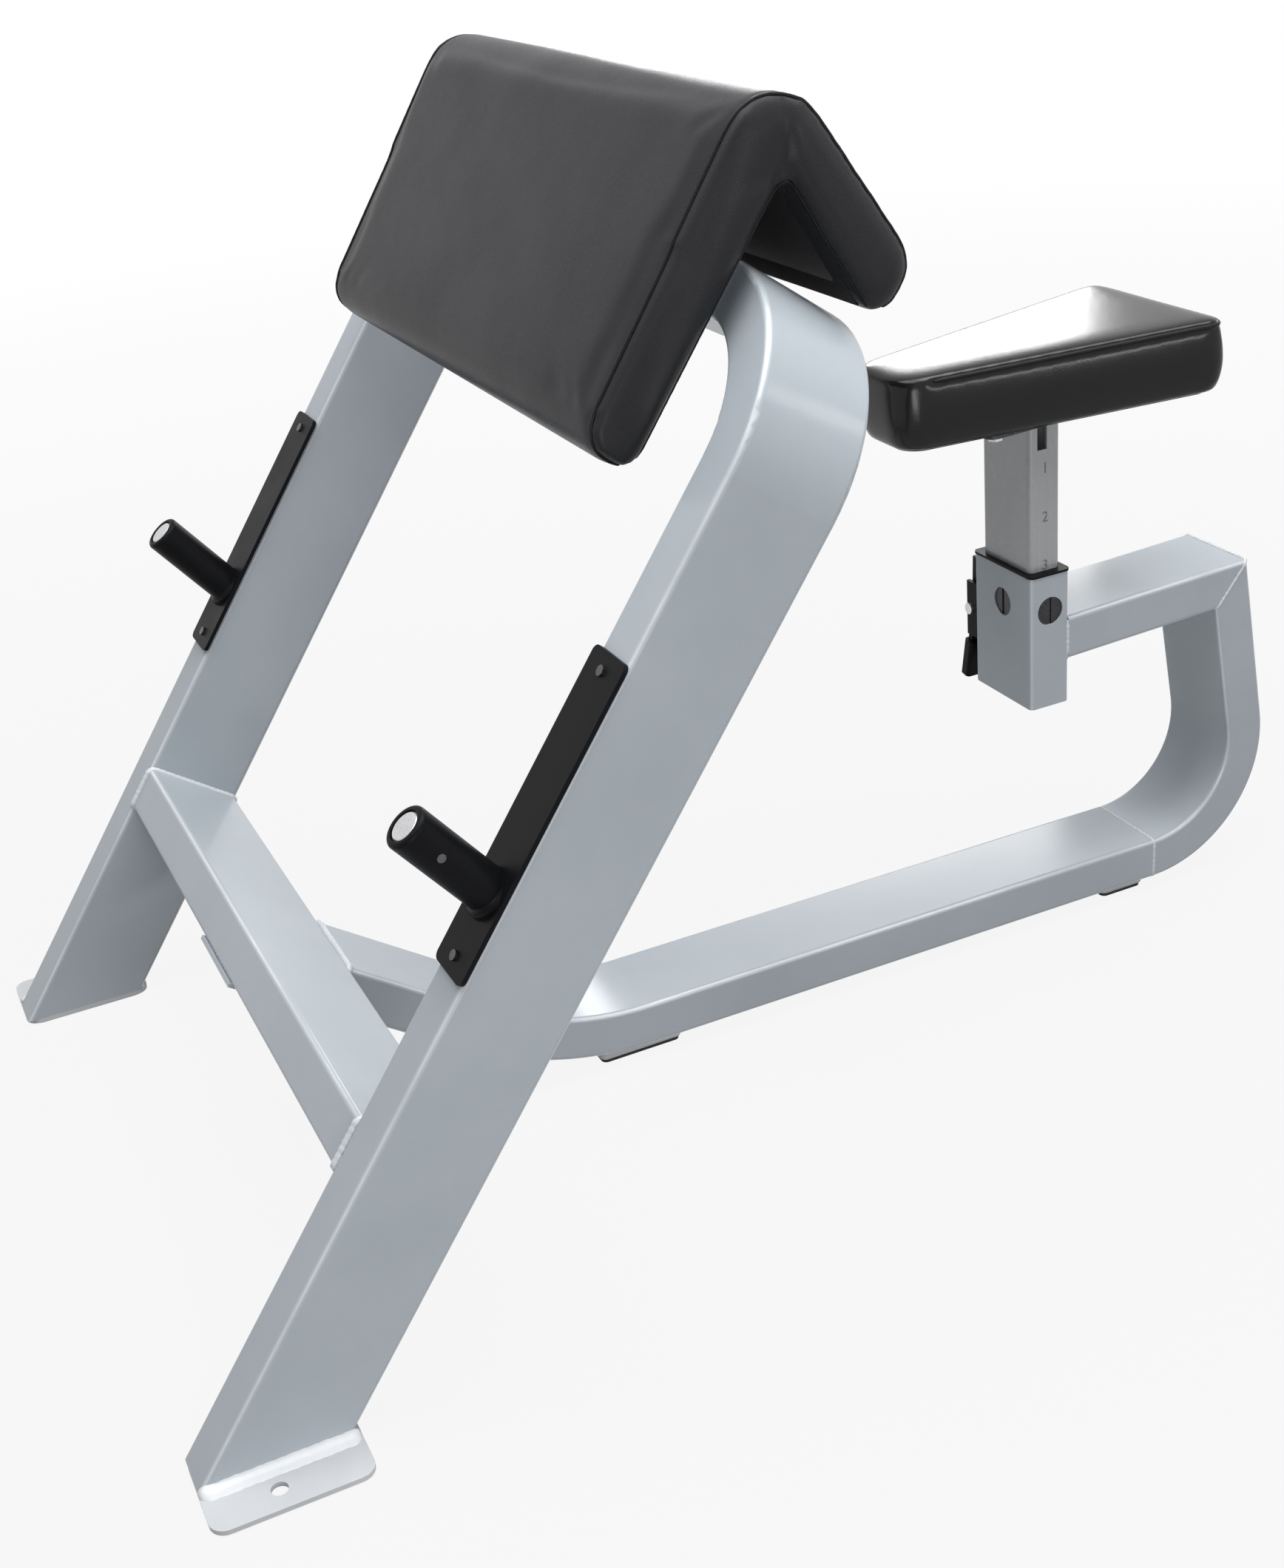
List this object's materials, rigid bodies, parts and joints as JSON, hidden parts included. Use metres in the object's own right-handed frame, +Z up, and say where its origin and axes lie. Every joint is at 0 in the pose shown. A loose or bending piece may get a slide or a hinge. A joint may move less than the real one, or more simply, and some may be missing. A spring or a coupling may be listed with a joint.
{
  "type": "preacher curl bench",
  "caption": "Preacher curl bench: leaning tube hoop with an inverted-V arm pad, forward bar rests, and a seat on a latched height-adjustable post at the rear of a floor rail.",
  "frame": {"origin": "on the floor, midway between the front edge of the foot plates and the rear bend, on the centre line", "axes": "+Z up, +Y from the bar rests towards the seat, +X towards the leg that is nearest in the picture"},
  "size_m": [0.892, 1.2978, 0.9377],
  "materials": {
    "frame_paint": "satin silver-grey powder coat",
    "foot_paint": "pale silver paint",
    "foot_rubber": "matt black",
    "moulded_black": "satin black moulding",
    "bright_steel": "bright plated",
    "dark_steel": "satin black",
    "zinc_steel": "zinc plated",
    "board_ply": "dark lined plywood",
    "pad_vinyl": "black vinyl",
    "liner_plastic": "matt black",
    "grip_plastic": "matt black"
  },
  "bodies": {
    "frame": {"front_hoop_tube": "frame_paint", "cross_brace_tube": "frame_paint", "spine_rail_tube": "frame_paint", "rear_upright_tube": "frame_paint", "seat_arm_tube": "frame_paint", "seat_post_receiver": "frame_paint", "spine_gusset_plate": "frame_paint", "left_foot_plate": "foot_paint", "right_foot_plate": "foot_paint", "left_foot_rubber": "foot_rubber", "right_foot_rubber": "foot_rubber", "rail_mid_foot_block": "foot_paint", "rail_mid_foot_rubber": "foot_rubber", "rail_rear_foot_block": "foot_paint", "rail_rear_foot_rubber": "foot_rubber", "left_bar_rest_cover": "moulded_black", "right_bar_rest_cover": "moulded_black", "left_bar_rest_pin": "bright_steel", "right_bar_rest_pin": "bright_steel", "bar_rest_screws": "dark_steel", "left_pad_bracket": "frame_paint", "right_pad_bracket": "frame_paint", "pad_bolts": "zinc_steel", "arm_pad_front_board": "board_ply", "arm_pad_rear_board": "board_ply", "arm_pad_cushion": "pad_vinyl", "receiver_upper_liner": "liner_plastic", "receiver_lower_liner": "liner_plastic", "front_glide_plug": "dark_steel", "side_glide_plug": "dark_steel", "latch_bracket": "dark_steel", "latch_pin": "zinc_steel", "latch_spring": "zinc_steel"},
    "seat": {"seat_post": "bright_steel", "post_end_plug": "liner_plastic", "seat_plate": "dark_steel", "seat_board": "board_ply", "seat_cushion": "pad_vinyl", "seat_bolts": "zinc_steel"},
    "lever": {"latch_lever": "dark_steel", "latch_grip": "grip_plastic"}
  },
  "joints": [
    {"name": "seat_slide", "type": "slide", "parent": "frame", "child": "seat", "axis": [0, -0.0087, 1], "range_m": [-0.14, 0.04]},
    {"name": "latch_lever_hinge", "type": "hinge", "parent": "frame", "child": "lever", "pos_m": [-0.062, 0.36943, 0.3352], "axis": [0, 1, 0.0087], "range_deg": [-2.5, 6], "stiffness_Nm_per_rad": 4}
  ]
}
